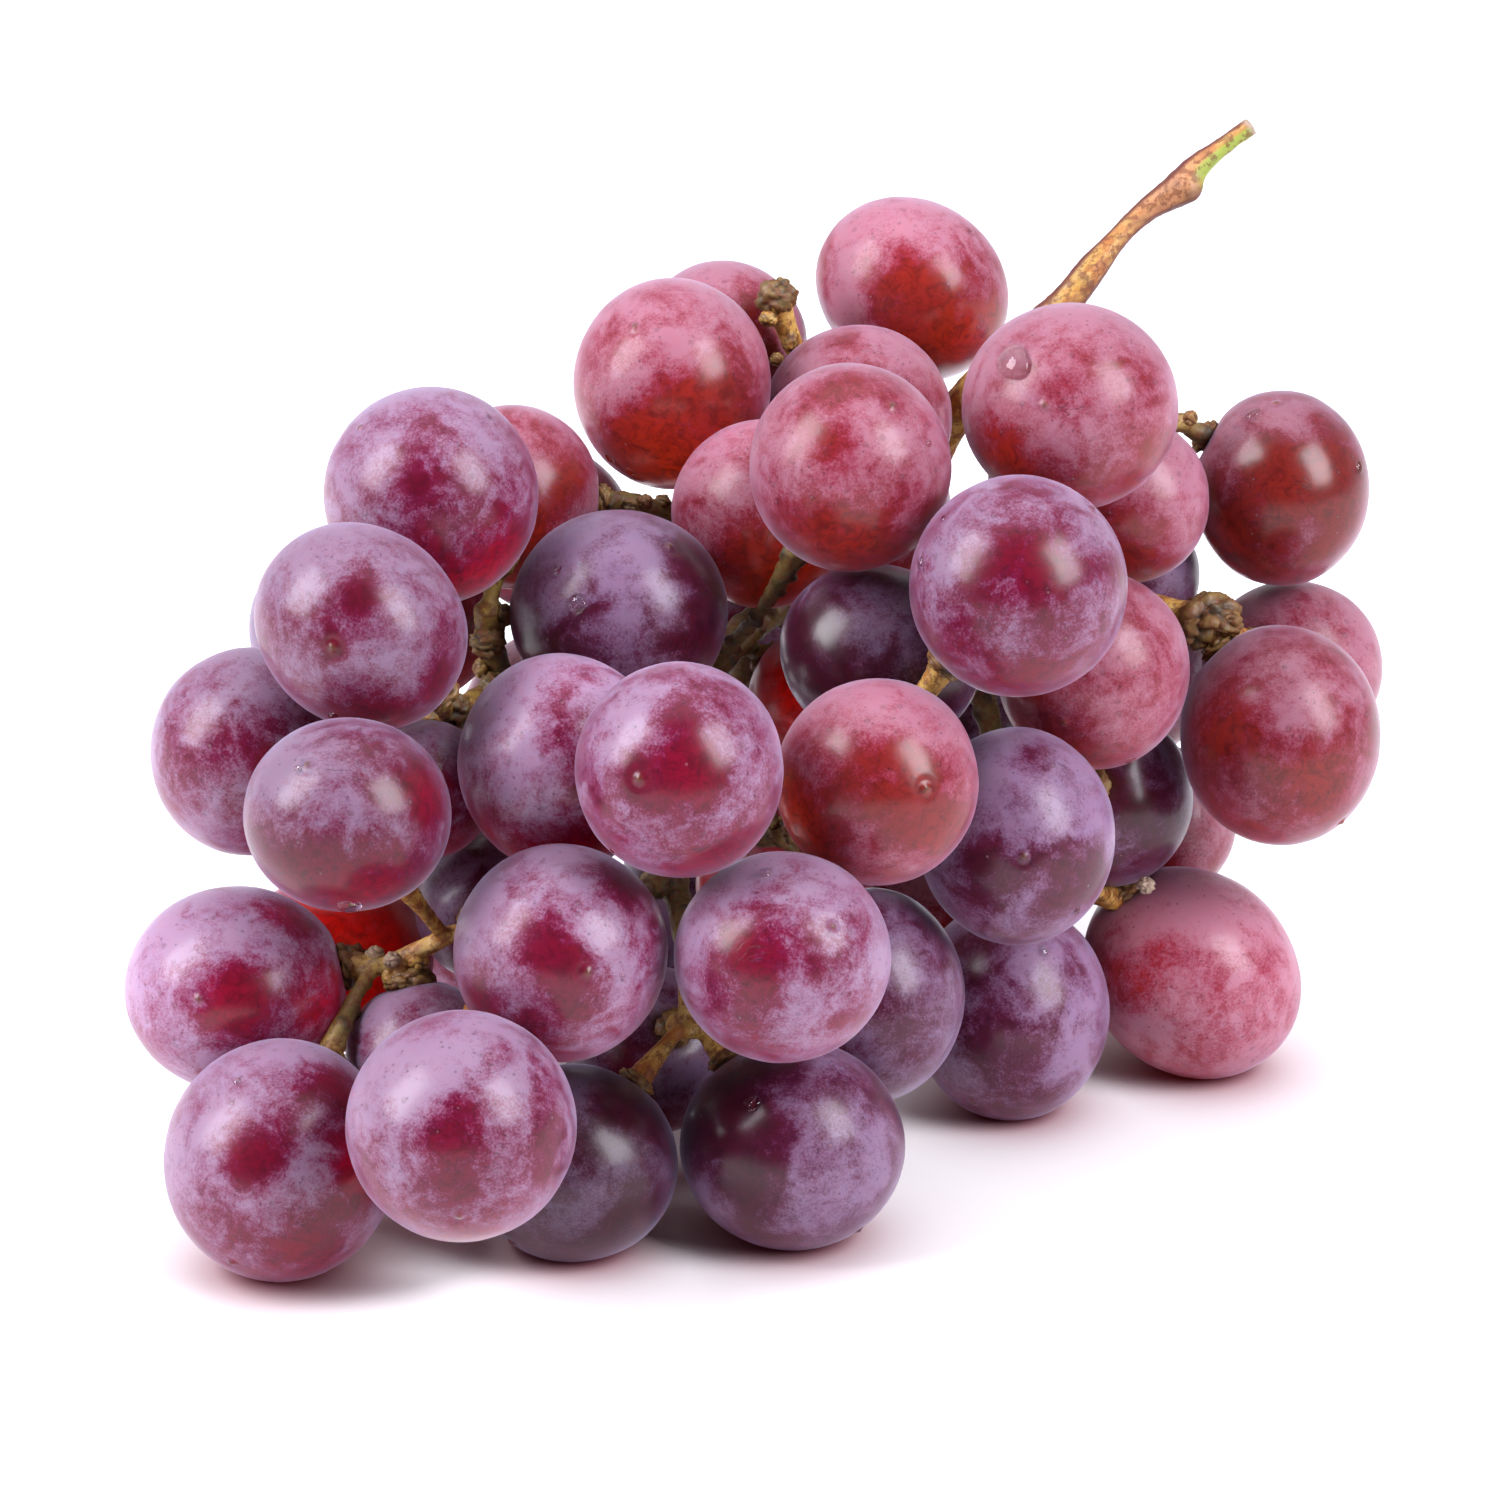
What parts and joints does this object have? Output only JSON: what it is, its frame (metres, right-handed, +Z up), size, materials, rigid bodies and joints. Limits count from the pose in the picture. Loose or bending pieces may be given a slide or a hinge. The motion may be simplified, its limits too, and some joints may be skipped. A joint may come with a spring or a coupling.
{
  "type": "bunch of grapes",
  "caption": "Bunch of red table grapes on their branching woody stalk, as picked, lying on a flat surface with the cut stem pointing up.",
  "frame": {"origin": "on the surface the bunch lies on, under the middle of its bounding box", "axes": "+Z up from the surface; +Y away from the side the picture shows; +X to that side's right, towards which the cut stem rises"},
  "size_m": [0.1444, 0.1438, 0.1075],
  "materials": {
    "rose_skin": "semi-gloss fruit skin, rose red, with a thin lilac wax bloom rubbed away in patches",
    "crimson_skin": "semi-gloss fruit skin, crimson, under a lavender wax bloom rubbed away in patches",
    "plum_skin": "semi-gloss fruit skin, dark plum, under a bluish wax bloom",
    "scarlet_skin": "glossy translucent fruit skin, bright scarlet, with almost no bloom",
    "stalk_bark": "dull ochre bark with brown corky lumps, green near the cut tip"
  },
  "bodies": {
    "root": {"stalk": "stalk_bark", "grape_01": "rose_skin", "grape_02": "rose_skin", "grape_03": "rose_skin", "grape_04": "rose_skin", "grape_05": "rose_skin", "grape_06": "rose_skin", "grape_07": "rose_skin", "grape_08": "rose_skin", "grape_09": "scarlet_skin", "grape_10": "crimson_skin", "grape_11": "crimson_skin", "grape_12": "crimson_skin", "grape_13": "crimson_skin", "grape_14": "crimson_skin", "grape_15": "plum_skin", "grape_16": "plum_skin", "grape_17": "crimson_skin", "grape_18": "crimson_skin", "grape_19": "rose_skin", "grape_20": "crimson_skin", "grape_21": "scarlet_skin", "grape_22": "rose_skin", "grape_23": "rose_skin", "grape_24": "plum_skin", "grape_25": "rose_skin", "grape_26": "rose_skin", "grape_27": "rose_skin", "grape_28": "plum_skin", "grape_29": "plum_skin", "grape_30": "rose_skin", "grape_31": "rose_skin", "grape_32": "plum_skin", "grape_33": "plum_skin", "grape_34": "crimson_skin", "grape_35": "crimson_skin", "grape_36": "plum_skin", "grape_37": "plum_skin", "grape_38": "plum_skin", "grape_39": "crimson_skin", "grape_40": "crimson_skin", "grape_41": "crimson_skin", "grape_42": "scarlet_skin", "grape_43": "crimson_skin", "grape_44": "plum_skin", "grape_45": "crimson_skin", "grape_46": "plum_skin", "grape_47": "rose_skin", "grape_48": "crimson_skin", "grape_49": "rose_skin", "grape_50": "crimson_skin", "grape_51": "plum_skin", "grape_52": "rose_skin", "grape_53": "crimson_skin", "grape_54": "rose_skin", "grape_55": "crimson_skin", "grape_56": "plum_skin", "grape_57": "crimson_skin", "grape_58": "plum_skin", "grape_59": "scarlet_skin"}
  },
  "joints": []
}
